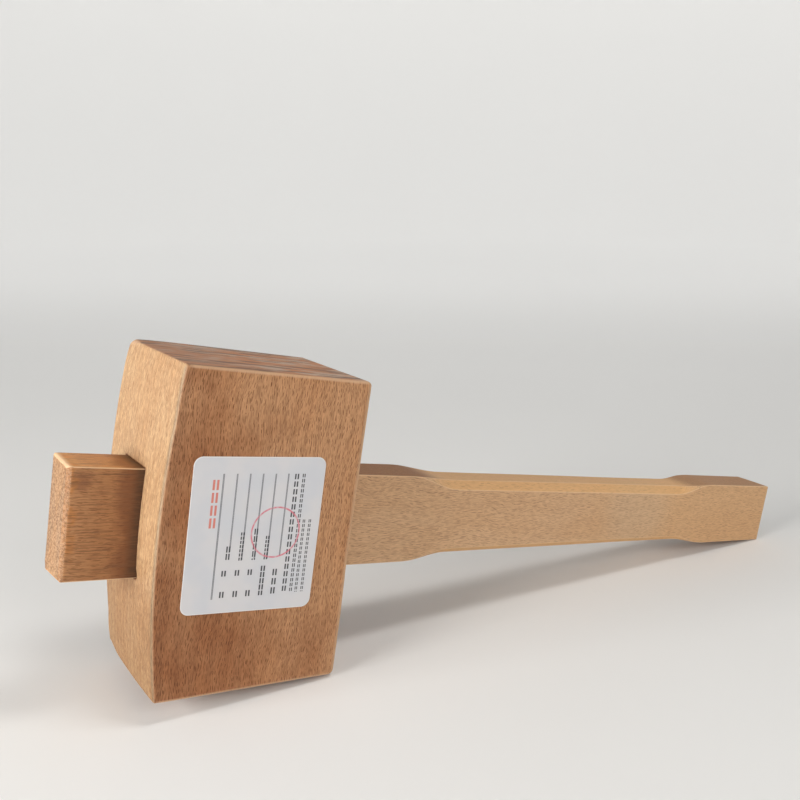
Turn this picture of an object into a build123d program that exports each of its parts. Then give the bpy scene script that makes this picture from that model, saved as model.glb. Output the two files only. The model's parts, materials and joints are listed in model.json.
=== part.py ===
"""A large joiner's mallet: a solid beech head on a tapered through handle, with a paper label.

The mallet lies as it is put down on a bench: the head's lower edge on the hand side and the
lower corner of the butt touch the bench, so the handle slopes down to the butt. The origin is
on the bench, under the middle of the mallet. X runs towards the butt, Y across it, and Z is up.
"""
from math import asin, atan, cos, degrees, hypot, sin
import os

from build123d import *

# Head: a block whose striking faces close in towards the hand, under a domed crown
crown_side_length = 149.5
hand_side_length = 141.5
head_depth = 86.5
crown_rise = 6.0
head_thickness = 70.0
head_arris_radius = 3.0

# Handle: one straight taper, from the stub above the crown down to the butt
handle_thickness = 24.5
stub_end_width = 50.5
butt_end_width = 35.5
stub_length = 38.6
butt_reach = 402.0
stub_near_chamfer = 3.0
stub_end_chamfer = 1.0
butt_arris_radius = 1.0

# Grip: the handle's edges dip between two S-shaped shoulders, and its four arrises are chamfered
front_shoulder = (130.0, 158.0)
rear_shoulder = (322.0, 350.0)
grip_dip = 2.2
grip_chamfer_leg = 4.0
chamfer_lift = 0.3

# Mortise: the handle's own taper, opened by the clearance of a wedged sliding fit
edge_clearance = 0.05
cheek_clearance = 0.10

# Label: a paper rectangle with round corners, stuck on the near cheek a little out of square
label_width = 61.5
label_height = 70.0
label_thickness = 0.15
label_corner_radius = 4.0
label_centre = (37.2, 1.4)
label_turn = 0.7

edge_slope = (stub_end_width - butt_end_width) / 2 / (stub_length + butt_reach)
face_slope = (crown_side_length - hand_side_length) / 2 / head_depth


def half_width(reach):
    """Half the handle's width at a reach towards the butt, counted from the crown's corners."""
    return stub_end_width / 2 - edge_slope * (reach + stub_length)


def grip_half_width(reach):
    """Half the handle's width between the shoulders."""
    return half_width(reach) - grip_dip


def lower_round(reach, half_height, slope, radius):
    """Centre of the round between a square end and the lower face that slopes up to it."""
    lean = atan(slope)
    return reach - radius, radius * (1 - sin(lean)) / cos(lean) - half_height


# The bench is the line that touches both lower rounds, the head's and the butt's
head_reach, head_level = lower_round(head_depth, hand_side_length / 2, face_slope, head_arris_radius)
butt_round_reach, butt_level = lower_round(butt_reach, butt_end_width / 2, edge_slope, butt_arris_radius)
gap = hypot(butt_round_reach - head_reach, butt_level - head_level)
tilt = asin((butt_level - head_level) / gap) + asin((head_arris_radius - butt_arris_radius) / gap)
bench_drop = head_arris_radius + head_reach * sin(tilt) - head_level * cos(tilt)

# Lowest corner of the stub's end and highest round of the butt bound the mallet along X
stub_end = -stub_length * cos(tilt) - (stub_end_width / 2 - stub_end_chamfer) * sin(tilt)
butt_end = butt_round_reach * cos(tilt) - butt_level * sin(tilt) + butt_arris_radius

# The mallet's middle plane: X along the handle to the butt, Y up the head, facing the near cheek
middle = Plane(
    origin=(-(stub_end + butt_end) / 2, 0, bench_drop),
    x_dir=(cos(tilt), 0, -sin(tilt)),
    z_dir=(0, -1, 0),
)
near_cheek = middle.offset(head_thickness / 2)
along_handle = Axis(middle.origin, middle.x_dir)

with BuildPart() as head:
    with BuildSketch(middle):
        with BuildLine():
            corner = (0, crown_side_length / 2)
            hand_corner = (head_depth, hand_side_length / 2)
            Line((head_depth, 0), hand_corner)
            Line(hand_corner, corner)
            ThreePointArc(corner, (-crown_rise, 0), (0, -crown_side_length / 2))
            Line((0, -crown_side_length / 2), (head_depth, -hand_side_length / 2))
            Line((head_depth, -hand_side_length / 2), (head_depth, 0))
        make_face()
    extrude(amount=head_thickness / 2, both=True)
    fillet(head.edges(), head_arris_radius)

    # Through mortise, cut past the crown and the hand side
    mouth = -2 * crown_rise
    exit_side = head_depth + crown_rise
    with BuildSketch(middle):
        with BuildLine():
            Polyline(
                (mouth, half_width(mouth) + edge_clearance),
                (exit_side, half_width(exit_side) + edge_clearance),
                (exit_side, -half_width(exit_side) - edge_clearance),
                (mouth, -half_width(mouth) - edge_clearance),
                close=True,
            )
        make_face()
    extrude(amount=handle_thickness / 2 + cheek_clearance, both=True, mode=Mode.SUBTRACT)
head.part.label = "head"

with BuildPart() as handle:
    front, front_end = front_shoulder
    rear_end, rear = rear_shoulder
    with BuildSketch(middle):
        with BuildLine():
            Polyline((-stub_length, 0), (-stub_length, half_width(-stub_length)), (front, half_width(front)))
            Spline(
                (front, half_width(front)),
                (front_end, grip_half_width(front_end)),
                tangents=((1, -edge_slope), (1, -edge_slope)),
            )
            Line((front_end, grip_half_width(front_end)), (rear_end, grip_half_width(rear_end)))
            Spline(
                (rear_end, grip_half_width(rear_end)),
                (rear, half_width(rear)),
                tangents=((1, -edge_slope), (1, -edge_slope)),
            )
            Polyline((rear, half_width(rear)), (butt_reach, butt_end_width / 2), (butt_reach, 0))
            mirror(about=Plane.XZ)
        make_face()
    extrude(amount=handle_thickness / 2, both=True)
    # The stub's end is cut back most on its near edge
    chamfer(handle.faces().sort_by(along_handle)[0].edges().sort_by(Axis.Y)[0], stub_near_chamfer)
    chamfer(handle.faces().sort_by(along_handle)[0].edges().sort_by(Axis.Y)[1:], stub_end_chamfer)
    fillet(handle.faces().sort_by(along_handle)[-1].edges(), butt_arris_radius)

    # Stopped chamfers: each cutter is drawn on the diagonal plane that an arris lies in
    diagonal = 1 / 2**0.5
    lift_height = handle_thickness / 2 * diagonal + chamfer_lift
    grip_height = (handle_thickness / 2 - grip_chamfer_leg) * diagonal
    along_arris = (1, -edge_slope * diagonal)
    front_lift = (front, half_width(front) * diagonal + lift_height)
    front_grip = (front_end, grip_half_width(front_end) * diagonal + grip_height)
    rear_grip = (rear_end, grip_half_width(rear_end) * diagonal + grip_height)
    rear_lift = (rear, half_width(rear) * diagonal + lift_height)
    for quarter in range(4):
        with BuildSketch(Plane(middle.location * Location((0, 0, 0), (45 + 90 * quarter, 0, 0)))):
            with BuildLine():
                Spline(front_lift, front_grip, tangents=(along_arris, along_arris))
                Line(front_grip, rear_grip)
                Spline(rear_grip, rear_lift, tangents=(along_arris, along_arris))
                Line(rear_lift, front_lift)
            make_face()
        extrude(amount=handle_thickness / 2, both=True, mode=Mode.SUBTRACT)
handle.part.label = "handle"

with BuildPart() as label:
    with BuildSketch(near_cheek):
        with Locations(label_centre):
            RectangleRounded(label_width, label_height, label_corner_radius, rotation=label_turn)
    extrude(amount=label_thickness)
label.part.label = "label"

os.makedirs("parts", exist_ok=True)
for piece in (head, handle, label):
    export_step(piece.part, f"parts/{piece.part.label}.step")
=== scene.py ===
import json

import bpy
import numpy as np
from mathutils import Matrix, Vector


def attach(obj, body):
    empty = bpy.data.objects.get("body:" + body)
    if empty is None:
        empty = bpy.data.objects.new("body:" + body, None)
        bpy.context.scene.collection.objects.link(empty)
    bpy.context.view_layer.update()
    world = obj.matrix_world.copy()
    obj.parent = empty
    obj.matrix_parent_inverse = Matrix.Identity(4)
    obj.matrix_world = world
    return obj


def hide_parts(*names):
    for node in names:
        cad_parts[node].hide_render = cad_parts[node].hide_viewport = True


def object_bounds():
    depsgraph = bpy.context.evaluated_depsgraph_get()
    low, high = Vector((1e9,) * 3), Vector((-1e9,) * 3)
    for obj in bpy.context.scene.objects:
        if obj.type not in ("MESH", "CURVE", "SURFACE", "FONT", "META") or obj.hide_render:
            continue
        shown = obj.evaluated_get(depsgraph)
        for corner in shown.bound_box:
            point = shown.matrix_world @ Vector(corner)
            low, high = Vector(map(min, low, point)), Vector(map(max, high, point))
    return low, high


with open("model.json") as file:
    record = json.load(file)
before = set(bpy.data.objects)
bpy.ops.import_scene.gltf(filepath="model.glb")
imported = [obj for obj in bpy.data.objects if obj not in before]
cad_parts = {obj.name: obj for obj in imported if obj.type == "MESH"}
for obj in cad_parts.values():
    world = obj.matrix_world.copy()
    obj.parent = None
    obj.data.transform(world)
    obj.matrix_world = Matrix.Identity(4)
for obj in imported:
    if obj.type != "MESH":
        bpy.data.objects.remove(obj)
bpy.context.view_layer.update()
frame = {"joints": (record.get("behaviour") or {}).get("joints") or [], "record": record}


# Head. A block of beech with a domed crown on the side the handle is driven in from, planed flat on the
# other five sides and sanded over at every arris. A tapered slot runs through it for the handle, and both
# striking faces lean in towards the hand, so that the end grain meets the work square at mid-swing.
mounts = {m["name"]: m for m in frame["record"]["mounts"]}
along = -Vector(frame["joints"][0]["axis"]).normalized()
across = Vector((0, 1, 0))
up = along.cross(across)
axes = Matrix((along, across, up)).transposed()
butt_reach = 402.0
centre = Vector(mounts["butt_end"]["pos_m"]) - along * butt_reach * 0.001

head_depth = 86.5
head_half_thickness = 35.0
crown_half_length = 74.75
hand_half_length = 70.75
crown_rise = 6.0
arris_radius = 3.0
crisp_radius = 0.7
slot_half_thickness = 12.35
slot_half_width = 24.65
slot_half_width_lost = 1.47
slot_corner = 0.4
mouth_ease = 0.5


def place(points):
    """Points measured in millimetres along the handle, away from the label and up the head, put in the
    frame in metres."""
    return np.array(centre) + points @ np.array(axes).T * 0.001


def drift(points, wavelength, seed):
    """A smooth random value of about -1 to 1 at each point: sixteen sine waves of about that wavelength,
    each running its own way, added together."""
    chance = np.random.default_rng(seed)
    ways = chance.normal(size=(16, 3))
    ways /= np.linalg.norm(ways, axis=1, keepdims=True)
    rates = chance.uniform(0.6, 1.6, 16) * 2 * np.pi / wavelength
    starts = chance.uniform(0, 2 * np.pi, 16)
    return np.sin(points @ ways.T * rates + starts).sum(axis=-1) / 5.6


def ease(x, start, end):
    """0 up to start, 1 from end on, and a smooth step between them."""
    t = np.clip((x - start) / (end - start), 0, 1)
    return t * t * (3 - 2 * t)


def shell(name, rows, looped, values):
    """A closed mesh from a grid of points in millimetres. The columns run round the piece and join last to
    first. The rows join last to first too when looped is true, and otherwise the first and the last row
    each close on a point at their middle. values holds named numbers for each point of the grid."""
    count, width = rows.shape[:2]
    row = np.arange(count if looped else count - 1)[:, None]
    column = np.arange(width)[None, :]
    beside = (column + 1) % width
    below = (row + 1) % count * width
    faces = np.stack([row * width + column, row * width + beside, below + beside, below + column], -1)
    faces = faces.reshape(-1, 4)
    points = rows.reshape(-1, 3)
    triangles = np.concatenate([faces[:, [0, 1, 2]], faces[:, [0, 2, 3]]])
    fans = np.zeros((0, 3), int)
    if not looped:
        points = np.concatenate([points, rows[[0, -1]].mean(axis=1)])
        last = (count - 1) * width
        first_fan = np.stack([beside[0], column[0], np.full(width, count * width)], -1)
        last_fan = np.stack([last + column[0], last + beside[0], np.full(width, count * width + 1)], -1)
        fans = np.concatenate([first_fan, last_fan])
        triangles = np.concatenate([triangles, fans])
    corners = points[triangles]
    volume = np.einsum("ij,ij->i", corners[:, 0], np.cross(corners[:, 1], corners[:, 2])).sum()
    if volume < 0:
        faces = faces[:, ::-1]
        fans = fans[:, ::-1]
    mesh = bpy.data.meshes.new(name)
    mesh.from_pydata(place(points).tolist(), [], faces.tolist() + fans.tolist())
    mesh.shade_smooth()
    for key, value in values.items():
        flat = value.reshape(-1)
        if not looped:
            flat = np.concatenate([flat, value[[0, -1]].mean(axis=1)])
        kept = mesh.attributes.new(key, "FLOAT", "POINT")
        kept.data.foreach_set("value", flat.astype(np.float32))
    made = bpy.data.objects.new(name, mesh)
    bpy.context.scene.collection.objects.link(made)
    return made


def frame_loop(long_count, short_count, corner_count):
    """Stations round an upright rectangle with rounded corners, from its near side by way of its top: each
    has a place on a 2 by 2 square and the direction that faces outwards there."""
    long_side = np.concatenate([[-1, -0.992], np.linspace(-0.975, 0.975, long_count), [0.992, 1]])
    short_side = np.concatenate([[-1, -0.985], np.linspace(-0.955, 0.955, short_count), [0.985, 1]])
    spots = []
    facing = []
    turns = np.radians(np.linspace(0, 90, corner_count + 1))[1:-1]
    for quarter in range(4):
        side = short_side if quarter % 2 else long_side
        angle = np.pi - quarter * np.pi / 2
        out = np.array([np.cos(angle), np.sin(angle)])
        onward = np.array([out[1], -out[0]])
        spots.append(out + side[:, None] * onward)
        facing.append(np.repeat(out[None], len(side), 0))
        spots.append(np.repeat((out + onward)[None], len(turns), 0))
        facing.append(np.cos(turns)[:, None] * out + np.sin(turns)[:, None] * onward)
    return np.concatenate(spots), np.concatenate(facing)


spots, facing = frame_loop(72, 34, 8)
turn = np.radians(np.linspace(0, 90, 9))
face_steps = np.concatenate([[0, 0.01, 0.03], np.linspace(0.07, 0.93, 18), [0.97, 0.99, 1]])
side_steps = np.concatenate([[0.004, 0.012], np.linspace(0.03, 0.97, 34), [0.988, 0.996]])
side_run = arris_radius + side_steps * (head_depth - 2 * arris_radius)
wall_run = np.linspace(head_depth - mouth_ease, mouth_ease, 14)
# Each stretch of the profile gives, at its stations, the depth along the handle, how far it has gone from
# the slot's edge to the arris, how far it stands off along the way it faces, and how rounded it is.
stretches = [
    (wall_run, 0 * wall_run, slot_corner + 0 * wall_run, 0 * wall_run),
    (
        mouth_ease * (1 - np.sin(turn[1:-1])),
        0 * turn[1:-1],
        slot_corner + mouth_ease * (1 - np.cos(turn[1:-1])),
        0 * turn[1:-1],
    ),
    (
        0 * face_steps,
        face_steps,
        (slot_corner + mouth_ease) * (1 - face_steps),
        0 * face_steps,
    ),
    (
        arris_radius * (1 - np.cos(turn[1:])),
        1 + 0 * turn[1:],
        arris_radius * np.sin(turn[1:]),
        np.sin(2 * turn[1:]),
    ),
    (side_run, 1 + 0 * side_run, arris_radius + 0 * side_run, 0 * side_run),
    (
        head_depth - arris_radius * (1 - np.sin(turn[:-1])),
        1 + 0 * turn[:-1],
        arris_radius * np.cos(turn[:-1]),
        np.sin(2 * turn[:-1]),
    ),
    (
        head_depth + 0 * face_steps,
        face_steps[::-1],
        (slot_corner + mouth_ease) * (1 - face_steps[::-1]),
        0 * face_steps,
    ),
    (
        head_depth - mouth_ease * (1 - np.cos(turn[1:-1])),
        0 * turn[1:-1],
        slot_corner + mouth_ease * (1 - np.sin(turn[1:-1])),
        0 * turn[1:-1],
    ),
]
depth, reach, stand, rounded = (np.concatenate(part)[:, None] for part in zip(*stretches))
# lean runs from 0 at the crown to 1 at the hand side.
lean = depth / head_depth
inner_y = (slot_half_thickness - slot_corner) * spots[:, 0]
inner_w = (slot_half_width - slot_half_width_lost * lean - slot_corner) * spots[:, 1]
outer_y = (head_half_thickness - arris_radius) * spots[:, 0]
half_length = crown_half_length + (hand_half_length - crown_half_length) * lean
outer_w = (half_length - arris_radius) * spots[:, 1]
# The corners on the near side are nearly square. The crown's arris is crisp but for its far side.
near = np.clip(-facing[:, 0], 0, 1)
softness = np.where(facing[:, 0] < 0, 0.45, 1.15) * (reach >= 1) + (reach < 1)
standing = np.sign(facing) * np.abs(facing) ** softness[..., None]
crisp = (lean < 0.5) * (1 - ease(facing[:, 0], 0.1, 0.8)) * (1 - ease(spots[:, 0], 0.55, 1.0))
rounding = arris_radius - (arris_radius - crisp_radius) * crisp
stand_out = np.where(reach >= 1, arris_radius - rounding + stand * rounding / arris_radius, stand)
y = inner_y + (outer_y - inner_y) * reach + stand_out * standing[..., 0]
w = inner_w + (outer_w - inner_w) * reach + stand_out * standing[..., 1]
crown_arris = (reach >= 1) * (depth < arris_radius)
u = np.where(crown_arris, depth * rounding / arris_radius, depth) + 0 * y
crown_radius = (crown_half_length**2 + crown_rise**2) / (2 * crown_rise)
dome = crown_rise - crown_radius + np.sqrt(crown_radius**2 - w**2)
# far runs from 0 on the near cheek to 1 on the far one.
far = np.clip((1 + y / head_half_thickness) / 2, 0, 1)
pillow = 1 - (y / head_half_thickness) ** 2
proud = 1.25 + np.clip(w, -56, 75) / 30 + 0.4 * ease(-w, 56, 70)
proud = far**1.3 * proud + 0.6 * pillow
# The block isn't quite true. The crown stands proud along its far side, most of all at the top, and the
# upper striking face is a little high at the hand side.
u = u - (dome + proud) * (1 - lean)
u = u + 1.1 * lean * ease(-w, 0, 60)
raised_top = (0.8 * lean - 0.5 * far) * ease(w, 20, 60)
lowered_corner = 0.47 * (1 - far) * (1 - lean) * ease(w, 50, 74)
raised_foot = (0.6 + 0.6 * lean) * (1 - far) + (0.78 - 0.4 * far) * lean
w = w + (raised_top - lowered_corner + raised_foot * ease(-w, 40, 70)) * (reach >= 0.5)
corner = far**2 * ease(np.abs(w), 62, 74) * (1 - np.clip(lean, 0, 1)) ** 10 * (reach >= 0.5)
u = u + 0.5 * corner
w = w - 0.62 * corner * np.sign(w)
# The crown's near upper corner leans out a little too.
leaning = (1 - far) * (1 - lean) * ease(w, 45, 73) * (reach >= 0.5)
u = u - 1.2 * leaning
w = w - 0.34 * leaning
# A shallow bevel runs down the near edge of the crown, planed on the cheek.
bevel_width = 4.4
bevel_cut = 0.5
bevel = np.clip((bevel_width - depth) / (bevel_width - 0.2), 0, 1) * (reach >= 1) * near
y = y + bevel_cut * bevel
grid = np.stack([u, y, w], -1)
# Hand sanding has taken more off some stretches of each arris than others.
wear = 0.07 + 0.14 * np.clip(drift(grid, 60, 11) + 0.3, 0, 1) + 0.049 * drift(grid, 9, 12)
wear = np.clip(wear, 0.014, 0.7) * rounded * rounding / arris_radius
grid[..., 0] += wear * np.where(lean < 0.5, 1, -1)
grid[..., 1] -= wear * facing[:, 0]
grid[..., 2] -= wear * facing[:, 1]
# Planing has left the flats uneven by a few hundredths.
flat_face = (reach > 0) * (1 - rounded)
grid[..., 1] -= flat_face * facing[:, 0] * 0.05 * (1 + np.clip(drift(grid, 45, 13), -1, 1))
# A splinter has gone from the mouth of the slot, at its near lower corner on the crown.
chip = np.exp(-(((w + 22.6) / 1.7) ** 2)) * (y < -11) * (y > -16) * (lean < 0.06)
grid[..., 1] -= chip * 1.3 * (reach < 0.06)
grid[..., 0] += chip * 0.5 * (reach < 0.03)
# How far each point belongs to the end grain, to the crown's face and to an arris, which is painted paler
# for wear and as a painted highlight.
end_grain = np.abs(facing[:, 1]) ** 3 * (reach * stand / arris_radius) ** 2 + 0 * y
crown_side = np.where(lean < 0.5, 1 - (reach >= 1) * (stand / arris_radius) ** 3, 0) * (reach > 0) + 0 * y
edge = np.maximum(rounded, ease(np.abs(2 * facing[:, 0] * facing[:, 1]), 0.5, 0.85) * (reach >= 1))
edge = edge * (1 - 0.8 * crisp * (depth < arris_radius + 0.1)) + 0 * y
head = shell(
    "head_block",
    grid,
    True,
    {"end_grain": end_grain, "arris": edge, "crown": crown_side, "bevel": bevel + 0 * y},
)


def wire(tree, kind, inputs=None, **settings):
    """Adds a shader node to the tree, with its settings, and with a value or a link for each input named."""
    made = tree.nodes.new("ShaderNode" + kind)
    for key, value in settings.items():
        setattr(made, key, value)
    for key, value in (inputs or {}).items():
        if isinstance(value, bpy.types.NodeSocket):
            tree.links.new(value, made.inputs[key])
        else:
            made.inputs[key].default_value = value
    return made


def maths(tree, operation, a, b=0.0, c=0.0):
    """The result of one sum on one, two or three numbers or sockets."""
    return wire(tree, "Math", {0: a, 1: b, 2: c}, operation=operation).outputs[0]


def remap(tree, value, low, high, start=0.0, end=1.0):
    """Start where the value is at low, end where it is at high, and a smooth step between them."""
    inputs = {"Value": value, "From Min": low, "From Max": high, "To Min": start, "To Max": end}
    return wire(tree, "MapRange", inputs, interpolation_type="SMOOTHSTEP").outputs["Result"]


def mix(tree, amount, a, b, blend="MIX"):
    """Colour a turned towards colour b by amount."""
    made = tree.nodes.new("ShaderNodeMix")
    made.data_type = "RGBA"
    made.blend_type = blend
    for index, value in ((0, amount), (6, a), (7, b)):
        if isinstance(value, bpy.types.NodeSocket):
            tree.links.new(value, made.inputs[index])
        else:
            made.inputs[index].default_value = value
    return made.outputs[2]


def laid(tree, mask, strength, under, over, blend="MIX"):
    """Colour over laid on colour under where the mask is, at that strength."""
    return mix(tree, maths(tree, "MULTIPLY", mask, strength), under, over, blend)


def layer(tree, name):
    """The number of that name kept at each point of the mesh."""
    return wire(tree, "Attribute", attribute_name=name).outputs["Fac"]


def stretched(tree, place, scale):
    """Places with each of their three distances multiplied, which draws out a pattern on them."""
    return wire(tree, "VectorMath", {0: place, 1: scale}, operation="MULTIPLY").outputs[0]


def noise(tree, place, scale, detail=2.0, roughness=0.5):
    """A smooth random value of about 0.3 to 0.7 at each place."""
    inputs = {"Vector": place, "Scale": scale, "Detail": detail, "Roughness": roughness}
    return wire(tree, "TexNoise", inputs).outputs["Fac"]


# Beech under the plane: short dark ray flecks that lie with the grain, fine pores between them, faint
# growth rings, and slow drifts from straw to pink. The grain runs along the first of the three distances.
beech = bpy.data.node_groups.new("beech", "ShaderNodeTree")
for socket, kind, value in (
    ("Place", "NodeSocketVector", (0, 0, 0)),
    ("Light", "NodeSocketColor", (1, 1, 1, 1)),
    ("Warm", "NodeSocketColor", (1, 1, 1, 1)),
    ("Dark", "NodeSocketColor", (1, 1, 1, 1)),
    ("Ray turn", "NodeSocketFloat", 0.8),
    ("Fleck gap", "NodeSocketFloat", 4.8),
    ("Fleck spacing", "NodeSocketFloat", 1.2),
    ("Fleck strength", "NodeSocketFloat", 0.6),
    ("Pore strength", "NodeSocketFloat", 0.3),
    ("Ring spacing", "NodeSocketFloat", 4.0),
    ("Ring strength", "NodeSocketFloat", 0.15),
    ("Ring centre", "NodeSocketVector", (0, 60, -40)),
    ("Drift strength", "NodeSocketFloat", 0.5),
):
    made = beech.interface.new_socket(socket, in_out="INPUT", socket_type=kind)
    made.default_value = value
beech.interface.new_socket("Colour", in_out="OUTPUT", socket_type="NodeSocketColor")
beech.interface.new_socket("Height", in_out="OUTPUT", socket_type="NodeSocketFloat")
given = beech.nodes.new("NodeGroupInput").outputs
slow = wire(beech, "TexNoise", {"Vector": given["Place"], "Scale": 0.035, "Detail": 2.0})
slow_way = wire(beech, "VectorMath", {0: slow.outputs["Color"], 1: (0.5, 0.5, 0.5)}, operation="SUBTRACT")
slow_push = stretched(beech, slow_way.outputs[0], (0, 5, 5))
bent = wire(beech, "VectorMath", {0: given["Place"], 1: slow_push}).outputs[0]
# Each fleck is a thin ellipse round the point of its cell. Its length and its depth are the cell's own.
rays = wire(beech, "VectorRotate", {"Vector": bent, "Angle": given["Ray turn"]}, rotation_type="X_AXIS")
ray_size = wire(beech, "CombineXYZ", {0: given["Fleck gap"], 1: given["Fleck spacing"], 2: 14.0})
ray_inputs = {0: rays.outputs[0], 1: ray_size.outputs[0]}
ray_cells = wire(beech, "VectorMath", ray_inputs, operation="DIVIDE").outputs[0]
cells = wire(beech, "TexVoronoi", {"Vector": ray_cells, "Scale": 1.0, "Randomness": 1.0})
cell_parts = wire(beech, "SeparateColor", {0: cells.outputs["Color"]})
fleck_half = maths(beech, "MULTIPLY_ADD", cell_parts.outputs[1], 0.22, 0.24)
fleck_way = wire(beech, "VectorMath", {0: ray_cells, 1: cells.outputs["Position"]}, operation="SUBTRACT")
fleck_parts = wire(beech, "SeparateXYZ", {0: fleck_way.outputs[0]}).outputs
fleck_x = maths(beech, "DIVIDE", fleck_parts[0], fleck_half)
fleck_y = maths(beech, "DIVIDE", fleck_parts[1], 0.125)
fleck_far = maths(beech, "MULTIPLY_ADD", fleck_x, fleck_x, maths(beech, "MULTIPLY", fleck_y, fleck_y))
fleck_shape = remap(beech, fleck_far, 0.7, 1.15, 1.0, 0.0)
fleck_depth = remap(beech, cell_parts.outputs[0], 0.0, 1.0, 0.3, 1.0)
flecks = maths(beech, "MULTIPLY", fleck_shape, fleck_depth)
pores = remap(beech, noise(beech, stretched(beech, bent, (0.22, 2.4, 2.4)), 1.0), 0.45, 0.66)
ring_offset = wire(beech, "VectorMath", {0: bent, 1: given["Ring centre"]}, operation="SUBTRACT").outputs[0]
ring_flat = stretched(beech, ring_offset, (0, 1, 1))
ring_radius = wire(beech, "VectorMath", {0: ring_flat}, operation="LENGTH").outputs["Value"]
ring_count = maths(beech, "DIVIDE", ring_radius, given["Ring spacing"])
ring_step = maths(beech, "FRACT", ring_count)
ring_line = maths(beech, "MULTIPLY", remap(beech, ring_step, 0.1, 0.86), remap(beech, ring_step, 1.0, 0.9))
patch_noise = noise(beech, stretched(beech, bent, (0.016, 0.05, 0.05)), 1.0, 3.0, 0.55)
patches = remap(beech, patch_noise, 0.35, 0.68)
ground = laid(beech, patches, given["Drift strength"], given["Light"], given["Warm"])
ringed = laid(beech, ring_line, given["Ring strength"], ground, given["Dark"])
sheen_noise = noise(beech, stretched(beech, bent, (0.3, 1.9, 1.9)), 1.0, 3.0, 0.6)
sheened = mix(beech, remap(beech, sheen_noise, 0.36, 0.64), ringed, (1.16, 1.17, 1.18, 1), "MULTIPLY")
pored = laid(beech, pores, given["Pore strength"], sheened, given["Dark"])
flecked = laid(beech, flecks, given["Fleck strength"], pored, given["Dark"])
given_out = beech.nodes.new("NodeGroupOutput")
beech.links.new(flecked, given_out.inputs["Colour"])
hollow = maths(beech, "ADD", maths(beech, "MULTIPLY", flecks, 0.6), maths(beech, "MULTIPLY", pores, 0.4))
beech.links.new(maths(beech, "SUBTRACT", 1.0, hollow), given_out.inputs["Height"])


def own_place(tree, grain_axis, place_axes, place_centre):
    """Distances in millimetres from the piece's own centre, with the one along the grain first."""
    coordinates = wire(tree, "TexCoord").outputs["Object"]
    turned = wire(
        tree,
        "Mapping",
        {
            "Vector": coordinates,
            "Location": place_centre,
            "Rotation": place_axes.to_euler(),
            "Scale": (0.001, 0.001, 0.001),
        },
        vector_type="TEXTURE",
    ).outputs[0]
    parts = wire(tree, "SeparateXYZ", {0: turned}).outputs
    order = {"along": (0, 1, 2), "up": (2, 1, 0)}[grain_axis]
    return parts, wire(tree, "CombineXYZ", {i: parts[order[i]] for i in range(3)}).outputs[0]


head_wood = bpy.data.materials.new("head_wood")
head_wood.use_nodes = True
tree = head_wood.node_tree
shader = tree.nodes["Principled BSDF"]
parts, grain_place = own_place(tree, "up", axes, centre)
grain_inputs = {
    "Place": grain_place,
    "Light": (0.505, 0.268, 0.133, 1),
    "Warm": (0.48, 0.215, 0.088, 1),
    "Dark": (0.13, 0.045, 0.016, 1),
    "Fleck gap": 3.4,
    "Fleck spacing": 0.82,
    "Fleck strength": 0.95,
    "Pore strength": 0.36,
}
grain = wire(tree, "Group", grain_inputs, node_tree=beech).outputs
# The cheek reddens towards its lower near corner and pales towards the hand.
slope = maths(tree, "MULTIPLY_ADD", parts[0], -0.0085, 0.62)
slope = maths(tree, "MULTIPLY_ADD", parts[2], -0.0042, slope)
blotch = maths(tree, "MULTIPLY_ADD", noise(tree, grain_place, 0.035, 3.0), 1.5, -0.75)
deep = remap(tree, maths(tree, "ADD", slope, blotch), -0.15, 1.0)
deepened = laid(tree, deep, 0.85, grain["Colour"], (0.51, 0.33, 0.225, 1), "MULTIPLY")
# The striking faces are end grain, which drinks in more dirt: darker, greyer and streaked by the plane.
streak_noise = noise(tree, stretched(tree, grain_place, (0.1, 0.13, 0.04)), 1.0, 5.0, 0.65)
streaks = remap(tree, streak_noise, 0.45, 0.56)
line_noise = noise(tree, stretched(tree, grain_place, (0.1, 0.32, 0.045)), 1.0, 3.0)
lines = remap(tree, line_noise, 0.50, 0.60)
end_colour = mix(tree, streaks, (0.50, 0.19, 0.066, 1), (0.50, 0.345, 0.245, 1))
darker = remap(tree, parts[0], 50.0, 5.0, 0.0, 0.45)
end_colour = mix(tree, darker, end_colour, (0.36, 0.19, 0.11, 1))
end_colour = laid(tree, lines, 0.85, end_colour, (0.12, 0.052, 0.026, 1))
ended = laid(tree, layer(tree, "end_grain"), 0.9, deepened, end_colour)
# The crown shows the wood nearer the quarter, paler and yellower, and its paleness is also a painted sheen.
# From its middle towards the bottom, below the stub, it is painted greyer and darker: painted shade.
hollows = remap(tree, grain["Height"], 0.85, 0.45, 0.0, 0.5)
# The crown's paler, yellower colour is partly the wood and partly a painted sheen.
crown_pale_and_sheen = mix(tree, 1.0, grain["Colour"], (1.0, 1.22, 1.34, 1), "MULTIPLY")
crown_pale_and_sheen = mix(tree, hollows, crown_pale_and_sheen, (0.26, 0.13, 0.06, 1))
reed_noise = noise(tree, stretched(tree, grain_place, (0.11, 0.62, 0.62)), 1.0, 3.0)
crown_pale_and_sheen = laid(tree, remap(tree, reed_noise, 0.48, 0.62), 0.42, crown_pale_and_sheen, (0.33, 0.165, 0.075, 1))
# Painted shade: the crown darkens and greys towards its bottom.
crown_low_shade = remap(tree, parts[2], 0.0, -45.0)
crown_low_shaded = mix(tree, crown_low_shade, crown_pale_and_sheen, (0.68, 0.63, 0.56, 1), "MULTIPLY")
crowned = mix(tree, layer(tree, "crown"), ended, crown_low_shaded)
# Painted shade: the shallow bevel down the crown's near edge is painted darker and greyer.
bevel_shaded = mix(tree, layer(tree, "bevel"), crowned, (0.66, 0.74, 0.84, 1), "MULTIPLY")
# The arrises are painted paler: sanding wear, and a painted highlight where they catch the light.
worn_and_highlit = laid(tree, layer(tree, "arris"), 0.75, bevel_shaded, (0.66, 0.42, 0.25, 1))
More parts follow.
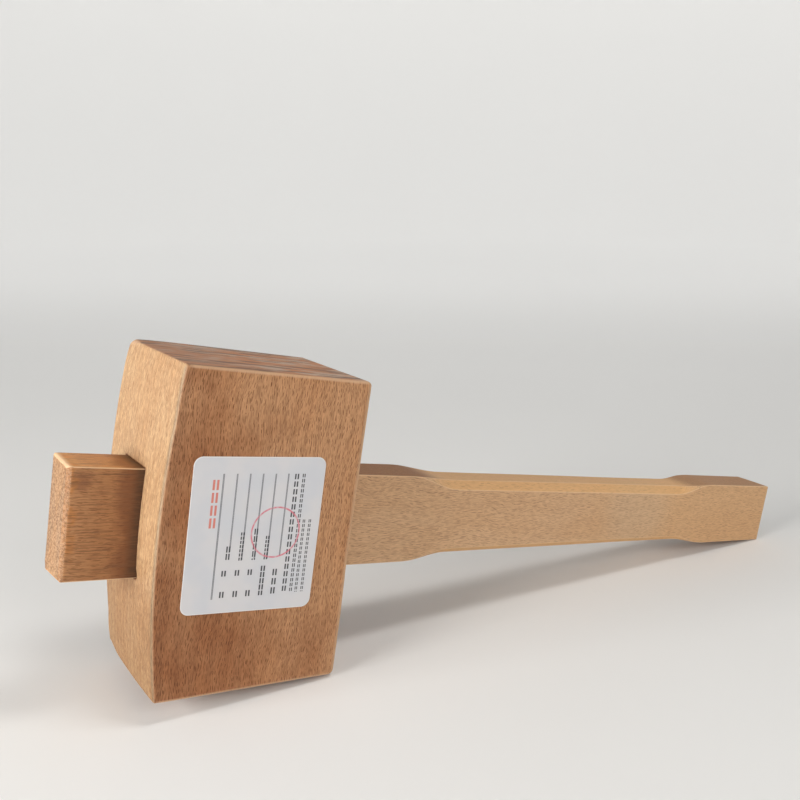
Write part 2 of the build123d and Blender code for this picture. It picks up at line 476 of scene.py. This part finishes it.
# The mouth of the slot is painted dark where the stub goes in: old glue and dirt, and painted shade in the
# joint.
reach_y = maths(tree, "SUBTRACT", maths(tree, "ABSOLUTE", parts[1]), slot_half_thickness)
reach_w = maths(tree, "SUBTRACT", maths(tree, "ABSOLUTE", parts[2]), slot_half_width)
mouth_shade_and_dirt = remap(tree, maths(tree, "MAXIMUM", reach_y, reach_w), 1.1, 0.1)
mouthed = laid(tree, mouth_shade_and_dirt, 0.8, worn_and_highlit, (0.10, 0.04, 0.016, 1))
tree.links.new(mouthed, shader.inputs["Base Color"])
shader.inputs["Roughness"].default_value = 0.55
shader.inputs["Specular IOR Level"].default_value = 0.25
bump = wire(tree, "Bump", {"Strength": 0.5, "Distance": 0.00006, "Height": grain["Height"]})
tree.links.new(bump.outputs[0], shader.inputs["Normal"])
head.data.materials.append(head_wood)
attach(head, "head")
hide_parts("head")


# Handle. One straight length of beech, deepest at the stub end and tapering to the butt, so that it is
# driven through the head from the crown side and wedges itself. The grip is cut in a little top and bottom
# and its four long corners are planed off in stopped chamfers.
handle_half_thickness = 12.25
stub_half_width = 25.25
butt_half_width = 17.75
stub_length = 38.6
corner_radius = 0.6
upper_dip = 2.2
lower_dip = 2.9
upper_chamfer = 4.4
lower_chamfer = 2.8
far_corner_hang = 2.4
stub_end_room = 2.7
butt_end_room = 2.0

stub_run = np.linspace(-stub_length + stub_end_room, 0, 28)
hidden_run = np.linspace(4, head_depth - 4, 12)
grip_run = np.linspace(head_depth, butt_reach - butt_end_room, 230)
runs = np.concatenate([stub_run, hidden_run, grip_run])


def chamfer_leg(u, side_w):
    """Leg of the stopped chamfer at each distance along the handle, on a corner that faces up or down: it
    runs in over a smooth step behind the head, and out again before the butt."""
    full = upper_chamfer if side_w > 0 else lower_chamfer
    start = ease(u, 128, 160)
    stop = 1 - ease(u, 320, 350)
    return full * np.clip(1.08 * start * stop - 0.08, 0, None)


def half_width(u):
    """Half of the handle's width, up the head: a straight taper."""
    lost = (stub_half_width - butt_half_width) / (butt_reach + stub_length)
    return stub_half_width - lost * (u + stub_length)


def ring(u):
    """One turn round the handle at each distance u: flats with a row of stations, and at every corner a
    chamfer between two small rounds. Gives the points, the way each faces and how rounded it is."""
    near_stations = np.concatenate([[-1, -0.97], np.linspace(-0.9, 0.9, 17), [0.97, 1]])
    top_stations = np.concatenate([[-1, -0.94], np.linspace(-0.8, 0.8, 9), [0.94, 1]])
    bends = np.radians(np.linspace(0, 45, 4))
    round_leg = 0.586 * corner_radius
    half_y = handle_half_thickness - corner_radius + 0 * u
    half_w = half_width(u) - corner_radius
    rows = []
    out_rows = []
    round_rows = []
    for quarter in range(4):
        angle = np.pi - quarter * np.pi / 2
        out = np.array([np.cos(angle), np.sin(angle)])
        onward = np.array([out[1], -out[0]])
        stations = top_stations if quarter % 2 else near_stations
        inset_start = np.clip(chamfer_leg(u, (out - onward)[1]) - round_leg, 0, None)
        inset_end = np.clip(chamfer_leg(u, (out + onward)[1]) - round_leg, 0, None)
        half_out = half_y * abs(out[0]) + half_w * abs(out[1])
        half_on = half_y * abs(onward[0]) + half_w * abs(onward[1])
        low = -(half_on - inset_start)
        high = half_on - inset_end
        for station in stations:
            spot = low + (high - low) * (station + 1) / 2
            rows.append(out * (half_out + corner_radius)[:, None] + onward * spot[:, None])
            out_rows.append(np.repeat(out[None], len(u), 0))
            round_rows.append(0 * u)
        first = out * half_out[:, None] + onward * high[:, None]
        second = out * (half_out - inset_end)[:, None] + onward * half_on[:, None]
        for bend in bends[1:]:
            way = np.cos(bend) * out + np.sin(bend) * onward
            rows.append(first + corner_radius * way)
            out_rows.append(np.repeat(way[None], len(u), 0))
            round_rows.append(1 + 0 * u)
        diagonal = (out + onward) / np.sqrt(2)
        for share in (0.04, 0.3, 0.7, 0.96):
            rows.append(first * (1 - share) + second * share + corner_radius * diagonal)
            out_rows.append(np.repeat(diagonal[None], len(u), 0))
            round_rows.append(0.1 + 0 * u)
        for bend in bends[:-1]:
            way = np.cos(bend + np.pi / 4) * out + np.sin(bend + np.pi / 4) * onward
            rows.append(second + corner_radius * way)
            out_rows.append(np.repeat(way[None], len(u), 0))
            round_rows.append(1 + 0 * u)
    return np.stack(rows, 1), np.stack(out_rows, 1), np.stack(round_rows, 1)


section, outward, rounded = ring(runs)
lengths = runs[:, None, None] + 0 * section[..., :1]
dip = (ease(runs, 130, 158) * (1 - ease(runs, 325, 352)))[:, None]
full_dip = np.where(section[..., 1] > 0, upper_dip, -lower_dip)
section[..., 1] -= dip * full_dip * np.clip(np.abs(section[..., 1]) / 12, 0, 1)
# Beyond the crown the stub's far lower corner hangs a little lower than its near one.
hang = (1 + section[..., 0] / handle_half_thickness) / 2 * (section[..., 1] < -12)
section[..., 1] -= far_corner_hang * ease(-runs, 12, 36)[:, None] * hang
uneven = 1 + drift(np.concatenate([lengths, section], -1), 50, 21)
section = section - 0.06 * outward * uneven[..., None]
body_rows = np.concatenate([lengths, section], -1)


def cap(edge, facing_out, sign, legs, doming, seed):
    """Rows from the last ring of the handle over its eased end to the middle of the end face. legs is how
    far the end edge is cut back on the near, the far, the upper and the lower side, and doming how far the
    middle stands out beyond the near and far sides."""
    near_leg, far_leg, upper_leg, lower_leg = legs
    uneven = 1 + 0.13 * drift(edge, 8, seed)
    leg_y = np.where(edge[:, 1] < 0, near_leg, far_leg) * uneven
    leg_w = np.where(edge[:, 2] > 0, upper_leg, lower_leg) * uneven
    leg = leg_y * facing_out[:, 0] ** 2 + leg_w * facing_out[:, 1] ** 2
    half_y = np.abs(edge[:, 1]).max()
    half_w = np.abs(edge[:, 2]).max()
    rows = []
    for step in (0.04, 0.12, 0.3, 0.5, 0.7, 0.88, 0.96, 1.0):
        cut = step**1.25
        run = edge[:, 0] + sign * (max(legs) * 1.2 - leg * (1 - step**0.8))
        side_y = edge[:, 1] * (1 - cut * leg_y / half_y)
        side_w = edge[:, 2] * (1 - cut * leg_w / half_w)
        rows.append(np.stack([run, side_y, side_w], -1))
    rim = rows[-1]
    for share in (0.985, 0.95, 0.85, 0.7, 0.5, 0.3, 0.12):
        rows.append(rim * (1, share, share))
    rows = np.stack(rows)
    rows[..., 0] -= sign * doming * (rows[..., 1] / half_y) ** 2
    return rows


stub_rows = cap(body_rows[0], outward[0], -1, (2.0, 0.4, 1.0, 0.9), 0.0, 22)
butt_rows = cap(body_rows[-1], outward[-1], 1, (0.4, 1.4, 1.0, 1.0), 0.2, 23)
stub_rows[..., 0] += -stub_length - stub_rows[..., 0].min()
butt_rows[..., 0] += butt_reach - butt_rows[..., 0].max()
# The stub's lower end edge is trimmed plumb.
above_edge = stub_rows[..., 2] + stub_half_width - 1.0
plumb = above_edge * along.z / along.x - stub_length + 0.03
stub_rows[..., 0] = np.maximum(stub_rows[..., 0], plumb)
grid = np.concatenate([stub_rows[::-1], body_rows, butt_rows])
rim_rows = 8
cap_rows = len(stub_rows)
end_grain = np.zeros(grid.shape[:2])
end_grain[: cap_rows - 1] = 1
end_grain[cap_rows - rim_rows : cap_rows - 1] = 0.55
end_grain[-(cap_rows - rim_rows + 1) :] = 1
# Edges painted paler, for wear and as a painted highlight: the rounded arrises, a painted glint along the
# upper edge of the stub's end, and the rim of the butt's end.
worn_highlit_edges = np.concatenate([0 * stub_rows[..., 0], rounded, 0 * butt_rows[..., 0]])
worn_highlit_edges[cap_rows - rim_rows : cap_rows] = outward[0, :, 1] > 0.5
worn_highlit_edges[-cap_rows : -cap_rows + rim_rows] = 0.6
grip = ease(grid[..., 0], 136, 156) * (1 - ease(grid[..., 0], 324, 340))
steep = np.abs(np.pad(outward[..., 1], ((cap_rows, cap_rows), (0, 0)), mode="edge"))
cut = grip * ease(steep, 0.1, 0.6)
uncut = (1 - grip) * ease(steep, 0.75, 0.98)
handle = shell(
    "handle_bar", grid, False, {"end_grain": end_grain, "arris": worn_highlit_edges, "cut": cut, "uncut": uncut}
)

handle_wood = bpy.data.materials.new("handle_wood")
handle_wood.use_nodes = True
tree = handle_wood.node_tree
shader = tree.nodes["Principled BSDF"]
parts, grain_place = own_place(tree, "along", axes, centre)
grain_inputs = {
    "Place": grain_place,
    "Light": (0.644, 0.394, 0.209, 1),
    "Warm": (0.594, 0.336, 0.160, 1),
    "Dark": (0.20, 0.09, 0.04, 1),
    "Ray turn": 0.5,
    "Fleck gap": 4.4,
    "Fleck spacing": 0.64,
    "Fleck strength": 0.55,
    "Pore strength": 0.26,
    "Ring strength": 0.04,
    "Drift strength": 0.4,
    "Ring centre": (0, -70, 30),
}
grain = wire(tree, "Group", grain_inputs, node_tree=beech).outputs
# Rasped streaks lie along the stub. It is darkest close to the head, stained by glue and dirt and painted
# with shade where it goes into the slot.
rasp = remap(tree, noise(tree, stretched(tree, grain_place, (0.07, 1.3, 1.3)), 1.0, 4.0, 0.65), 0.46, 0.62)
line = remap(tree, noise(tree, stretched(tree, grain_place, (0.05, 1.2, 1.2)), 1.0, 1.0), 0.68, 0.73)
near_stub = remap(tree, parts[0], 0.0, -3.0)
stain_noise = noise(tree, grain_place, 0.12, 3.0)
stain_reach = maths(tree, "MULTIPLY_ADD", stain_noise, 14.0, parts[0])
browner = remap(tree, stain_reach, -30.0, -16.0)
stub_colour = mix(tree, browner, (0.42, 0.195, 0.078, 1), (0.33, 0.14, 0.050, 1))
# Painted shade and stain: darker towards the head, near black in the last few millimetres before the slot.
stub_colour = mix(tree, remap(tree, stain_reach, -14.0, -5.0), stub_colour, (0.17, 0.054, 0.016, 1))
stub_colour = mix(tree, remap(tree, parts[0], -12.5, -7.8), stub_colour, (0.05, 0.018, 0.008, 1))
stain_gap = wire(tree, "VectorMath", {0: grain_place, 1: (-32.5, -12.2, 19.0)}, operation="DISTANCE")
stain = remap(tree, maths(tree, "MULTIPLY_ADD", stain_noise, 7.0, stain_gap.outputs["Value"]), 9.5, 5.0)
stub_colour = laid(tree, stain, 0.75, stub_colour, (0.19, 0.062, 0.022, 1))
burr = maths(tree, "MULTIPLY", remap(tree, parts[0], -32.0, -35.0), remap(tree, stain_noise, 0.48, 0.58))
stub_colour = laid(tree, burr, 0.7, stub_colour, (0.42, 0.155, 0.035, 1))
stub_colour = laid(tree, rasp, 0.6, stub_colour, (0.13, 0.05, 0.02, 1))
stub_colour = laid(tree, line, 0.75, stub_colour, (0.09, 0.035, 0.016, 1))
hollows = remap(tree, grain["Height"], 0.85, 0.45, 0.0, 0.6)
stub_colour = mix(tree, hollows, stub_colour, (0.12, 0.045, 0.018, 1))
# The grip is greyer towards the head, calmer and yellower towards the butt, and has a pink patch between.
calm = remap(tree, parts[0], 130.0, 340.0, 0.0, 0.3)
calmed = mix(tree, calm, grain["Colour"], (0.60, 0.355, 0.18, 1))
greyed = mix(tree, remap(tree, parts[0], 330.0, 220.0), calmed, (0.93, 0.955, 1.03, 1), "MULTIPLY")
patch_gap = wire(tree, "VectorMath", {0: grain_place, 1: (290.0, -12.2, 2.0)}, operation="DISTANCE")
patch = remap(tree, patch_gap.outputs["Value"], 34.0, 12.0)
patched = mix(tree, patch, greyed, (0.97, 1.04, 1.14, 1), "MULTIPLY")
stubbed = laid(tree, near_stub, 0.9, patched, stub_colour)
# The top of the stub is fresher, and the uncut top of the handle is browner than the cut grip.
stub_top = maths(tree, "MULTIPLY", near_stub, layer(tree, "uncut"))
topped = mix(tree, stub_top, stubbed, (1.75, 1.72, 1.3, 1), "MULTIPLY")
beyond_head = maths(tree, "MULTIPLY", layer(tree, "uncut"), remap(tree, parts[0], 60.0, 80.0))
brown = remap(tree, parts[0], 160.0, 330.0, 0.9, 0.6)
browned = laid(tree, beyond_head, brown, topped, (0.44, 0.26, 0.08, 1), "MULTIPLY")
planed = laid(tree, layer(tree, "cut"), 0.4, browned, (0.60, 0.37, 0.19, 1))
freshened = mix(tree, layer(tree, "cut"), planed, (1.16, 1.08, 0.90, 1), "MULTIPLY")
specks = remap(tree, noise(tree, grain_place, 0.9, 4.0, 0.7), 0.44, 0.56)
speckled = mix(tree, specks, (0.17, 0.09, 0.042, 1), (0.43, 0.27, 0.16, 1))
ended = laid(tree, layer(tree, "end_grain"), 0.85, freshened, speckled)
# The handle's arrises and end edges are painted paler: wear, and a painted highlight and glint.
worn_and_highlit = laid(tree, layer(tree, "arris"), 0.8, ended, (0.78, 0.53, 0.32, 1))
tree.links.new(worn_and_highlit, shader.inputs["Base Color"])
shader.inputs["Roughness"].default_value = 0.55
shader.inputs["Specular IOR Level"].default_value = 0.25
bump = wire(tree, "Bump", {"Strength": 0.5, "Distance": 0.00005, "Height": grain["Height"]})
tree.links.new(bump.outputs[0], shader.inputs["Normal"])
handle.data.materials.append(handle_wood)
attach(handle, "handle")
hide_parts("handle")


# Label. A white paper sticker with rounded corners, stuck flat on the middle of one cheek and printed with
# ruled lines, a short heading and a round stamp.
label_half_width = 30.75
label_half_height = 35.0
label_corner = 4.0
label_thickness = 0.15
label_centre = Vector((37.2, -head_half_thickness, 1.4))
label_turn = np.radians(0.7)

spots, facing = frame_loop(24, 20, 8)
edge_y = (label_half_width - label_corner) * spots[:, 0] + label_corner * facing[:, 0]
edge_w = (label_half_height - label_corner) * spots[:, 1] + label_corner * facing[:, 1]
shares = np.array([0.1, 0.25, 0.4, 0.55, 0.7, 0.85, 0.95, 0.99, 0.997, 1.0])
fronts = np.array([1, 1, 1, 1, 1, 1, 1, 1, 1, 0.86]) * label_thickness
rows_out = np.concatenate([shares, [1.0], shares[::-1][1:]])
stand = np.concatenate([fronts, [0.0], 0 * shares[1:]])
flat_x = rows_out[:, None] * edge_y
flat_z = rows_out[:, None] * edge_w
grid = np.stack(
    [
        label_centre.x + flat_x * np.cos(label_turn) - flat_z * np.sin(label_turn),
        label_centre.y - stand[:, None] + 0 * flat_x,
        label_centre.z + flat_x * np.sin(label_turn) + flat_z * np.cos(label_turn),
    ],
    -1,
)
label = shell("label_sticker", grid, False, {"edge": rows_out[:, None] + 0 * flat_x})

# One row of print: a line of short bars between two heights on the label.
row_group = bpy.data.node_groups.new("print_row", "ShaderNodeTree")
row_keys = ("X", "Z", "Middle", "Half width", "Bottom", "Top", "Pitch", "Inked")
for socket in row_keys:
    row_group.interface.new_socket(socket, in_out="INPUT", socket_type="NodeSocketFloat")
row_group.interface.new_socket("Ink", in_out="OUTPUT", socket_type="NodeSocketFloat")
given = row_group.nodes.new("NodeGroupInput").outputs
offset = maths(row_group, "ABSOLUTE", maths(row_group, "SUBTRACT", given["X"], given["Middle"]))
stroke = maths(row_group, "ABSOLUTE", maths(row_group, "MULTIPLY_ADD", given["Half width"], -0.6, offset))
stroke_half = maths(row_group, "MULTIPLY", given["Half width"], 0.34)
beside = remap(row_group, maths(row_group, "SUBTRACT", stroke_half, stroke), -0.05, 0.05)
above = remap(row_group, maths(row_group, "SUBTRACT", given["Z"], given["Bottom"]), -0.06, 0.06)
drop = maths(row_group, "SUBTRACT", given["Top"], given["Z"])
below = remap(row_group, drop, -0.06, 0.06)
step = maths(row_group, "FRACT", maths(row_group, "DIVIDE", drop, given["Pitch"]))
ink = maths(row_group, "LESS_THAN", step, given["Inked"])
for limit in (beside, above, below):
    ink = maths(row_group, "MULTIPLY", ink, limit)
row_out = row_group.nodes.new("NodeGroupOutput")
row_group.links.new(ink, row_out.inputs["Ink"])

label_paper = bpy.data.materials.new("label_paper")
label_paper.use_nodes = True
tree = label_paper.node_tree
shader = tree.nodes["Principled BSDF"]
label_axes = axes @ Matrix.Rotation(-label_turn, 3, "Y")
label_place = centre + axes @ (label_centre * 0.001)
parts, flat_place = own_place(tree, "along", label_axes, label_place)
x, z = parts[0], parts[2]


def printed(rows):
    """The ink of these rows of bars, each given as its middle, half width, bottom, top, pitch and the share
    of the pitch that is inked."""
    total = 0.0
    for row in rows:
        made = wire(tree, "Group", dict(zip(row_keys, (x, z, *row))), node_tree=row_group)
        total = maths(tree, "MAXIMUM", made.outputs["Ink"], total)
    return total


def tone(red, green, blue):
    """A colour given as a screen shows it, from 0 to 255, as the shader counts it."""
    value = np.array([red, green, blue]) / 255
    linear = np.where(value < 0.04045, value / 12.92, ((value + 0.055) / 1.055) ** 2.4)
    return (*linear.tolist(), 1.0)


rules = printed(
    [(-17.0, 0.36, -28.5, 27.6, 200, 1)]
    + [(-10.9 + 5.98 * i, 0.32, (-7, -11, -11, -11, -10)[i], 27.6, 200, 1) for i in range(5)]
)
heading = printed([(-20.2, 1.5, 3.3, 25.0, 5.6, 0.8)])
small = printed(
    [
        (-12.6, 1.1, -28.0, -25.2, 10, 1),
        (-12.6, 1.1, -18.2, -15.6, 10, 1),
        (-11.6, 1.0, -11.0, -4.6, 3.3, 0.85),
        (-6.4, 1.1, -28.0, -25.2, 10, 1),
        (-6.4, 1.1, -18.2, -15.6, 10, 1),
        (-5.6, 0.9, -11.3, 1.5, 1.9, 0.75),
        (-0.4, 1.1, -28.0, -25.2, 10, 1),
        (-0.4, 1.1, -18.2, -15.6, 10, 1),
        (0.6, 0.9, -11.3, 3.0, 3.4, 0.8),
        (5.7, 1.1, -28.0, -14.2, 2.9, 0.86),
        (6.3, 0.9, -11.3, -0.5, 1.9, 0.75),
        (11.6, 1.1, -28.0, -16.0, 4.3, 0.7),
        (17.1, 1.05, -27.5, 27.5, 3.45, 0.72),
        (20.5, 0.75, -27.5, 27.5, 2.3, 0.72),
        (23.1, 0.65, -27.5, 6.5, 2.1, 0.7),
        (26.0, 0.65, -27.5, 6.5, 2.1, 0.7),
    ]
)
stamp_radius = 11.4
stamp_x = maths(tree, "SUBTRACT", x, 9.8)
stamp_z = maths(tree, "SUBTRACT", z, 1.0)
stamp_reach = maths(tree, "MULTIPLY_ADD", stamp_x, stamp_x, maths(tree, "MULTIPLY", stamp_z, stamp_z))
ring_gap = maths(tree, "ABSOLUTE", maths(tree, "SUBTRACT", maths(tree, "SQRT", stamp_reach), stamp_radius))
inking = remap(tree, noise(tree, flat_place, 0.5, 3.0), 0.3, 0.6, 0.4, 0.9)
stamp_ink = maths(tree, "MULTIPLY", remap(tree, ring_gap, 0.5, 0.25), inking)
warmth = remap(tree, noise(tree, flat_place, 0.06), 0.35, 0.65)
paper = mix(tree, warmth, tone(205, 206, 211), tone(212, 210, 212))
# A painted highlight: the paper is painted lighter along its rim.
paper = mix(tree, remap(tree, layer(tree, "edge"), 0.985, 0.998), paper, tone(228, 226, 224))
inked = laid(tree, small, 0.95, paper, tone(48, 48, 54))
inked = mix(tree, rules, inked, tone(48, 50, 60))
inked = laid(tree, heading, 0.8, inked, tone(212, 92, 58))
inked = mix(tree, stamp_ink, inked, tone(214, 112, 128))
tree.links.new(inked, shader.inputs["Base Color"])
shader.inputs["Roughness"].default_value = 0.45
fibres = noise(tree, flat_place, 1.4, 4.0)
bump = wire(tree, "Bump", {"Strength": 0.3, "Distance": 0.00003, "Height": fibres})
tree.links.new(bump.outputs[0], shader.inputs["Normal"])
label.data.materials.append(label_paper)
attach(label, "head")
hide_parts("label")


# Floor, light and camera. A plain pale studio floor that curves up into a wall all round, soft daylight
# from the left and a little light from the front.
floor_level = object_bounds()[0].z
bowl_width = 96
bowl_angle = np.linspace(0, 2 * np.pi, bowl_width + 1)[:-1]
bend = np.radians(np.linspace(0, 90, 13))
bowl_radius = np.concatenate([[0.2, 1.0, 2.0], 2.4 + 0.8 * np.sin(bend), [3.2, 3.2]])
bowl_height = np.concatenate([[0, 0, 0], 0.8 * (1 - np.cos(bend)), [1.6, 2.6]])
bowl = np.stack(
    [
        bowl_radius[:, None] * np.cos(bowl_angle),
        bowl_radius[:, None] * np.sin(bowl_angle),
        floor_level + bowl_height[:, None] + 0 * bowl_angle,
    ],
    -1,
)
row = np.arange(len(bowl_radius) - 1)[:, None] * bowl_width
column = np.arange(bowl_width)[None, :]
beside = (column + 1) % bowl_width
above = row + bowl_width
bowl_faces = np.stack([row + column, above + column, above + beside, row + beside], -1).reshape(-1, 4)
floor_mesh = bpy.data.meshes.new("floor")
floor_mesh.from_pydata(bowl.reshape(-1, 3).tolist(), [], bowl_faces.tolist() + [list(range(bowl_width))])
floor_mesh.shade_smooth()
floor = bpy.data.objects.new("floor", floor_mesh)
bpy.context.scene.collection.objects.link(floor)
floor_paint = bpy.data.materials.new("floor_paint")
floor_paint.use_nodes = True
tree = floor_paint.node_tree
shader = tree.nodes["Principled BSDF"]
coordinates = wire(tree, "TexCoord").outputs["Object"]
paint = mix(tree, noise(tree, coordinates, 2.0), (0.80, 0.80, 0.79, 1), (0.83, 0.83, 0.82, 1))
tree.links.new(paint, shader.inputs["Base Color"])
shader.inputs["Roughness"].default_value = 0.8
# The floor and its wall glow, from none at the object to most 1.6 m further from the camera, so the backdrop
# stays evenly pale.
away = wire(tree, "VectorMath", {0: coordinates, 1: (0.515, 0.857, 0)}, operation="DOT_PRODUCT")
backdrop_glow = remap(tree, away.outputs["Value"], 0.0, 1.6, 0.0, 0.34)
shader.inputs["Emission Color"].default_value = (1.0, 0.99, 0.97, 1)
tree.links.new(backdrop_glow, shader.inputs["Emission Strength"])
floor_mesh.materials.append(floor_paint)

world = bpy.data.worlds.new("room")
bpy.context.scene.world = world
world.use_nodes = True
world.node_tree.nodes["Background"].inputs["Color"].default_value = (0.95, 0.97, 1.0, 1)
world.node_tree.nodes["Background"].inputs["Strength"].default_value = 0.12


def lamp(name, spot, target, width, height, power, colour):
    """A soft rectangular light at spot that faces target."""
    data = bpy.data.lights.new(name, "AREA")
    data.shape = "RECTANGLE"
    data.size = width
    data.size_y = height
    data.energy = power
    data.color = colour
    made = bpy.data.objects.new(name, data)
    bpy.context.scene.collection.objects.link(made)
    made.location = spot
    made.rotation_euler = (Vector(target) - Vector(spot)).to_track_quat("-Z", "Y").to_euler()


lamp("window", (-1.38, -0.16, 0.40), (-0.12, 0, 0.08), 0.8, 0.7, 23.5, (1.0, 0.98, 0.95))
lamp("front", (0.1, -1.3, 0.85), (0.05, 0, 0.07), 1.0, 0.6, 5.4, (1.0, 0.98, 0.95))
lamp("overhead", (0.25, -0.30, 1.25), (0.0, 0, 0.08), 0.3, 0.3, 4.4, (1.0, 0.98, 0.95))

camera_data = bpy.data.cameras.new("camera")
camera = bpy.data.objects.new("camera", camera_data)
bpy.context.scene.collection.objects.link(camera)
camera.location = (-0.304758, -0.425841, 0.23858)
camera.rotation_euler = np.radians([73.3439, -0.268, -31.1075])
camera_data.lens = 46.407
camera_data.shift_y = 0.075
camera_data.clip_start = 0.01
camera_data.clip_end = 20
bpy.context.scene.camera = camera
bpy.context.scene.view_settings.view_transform = "Standard"
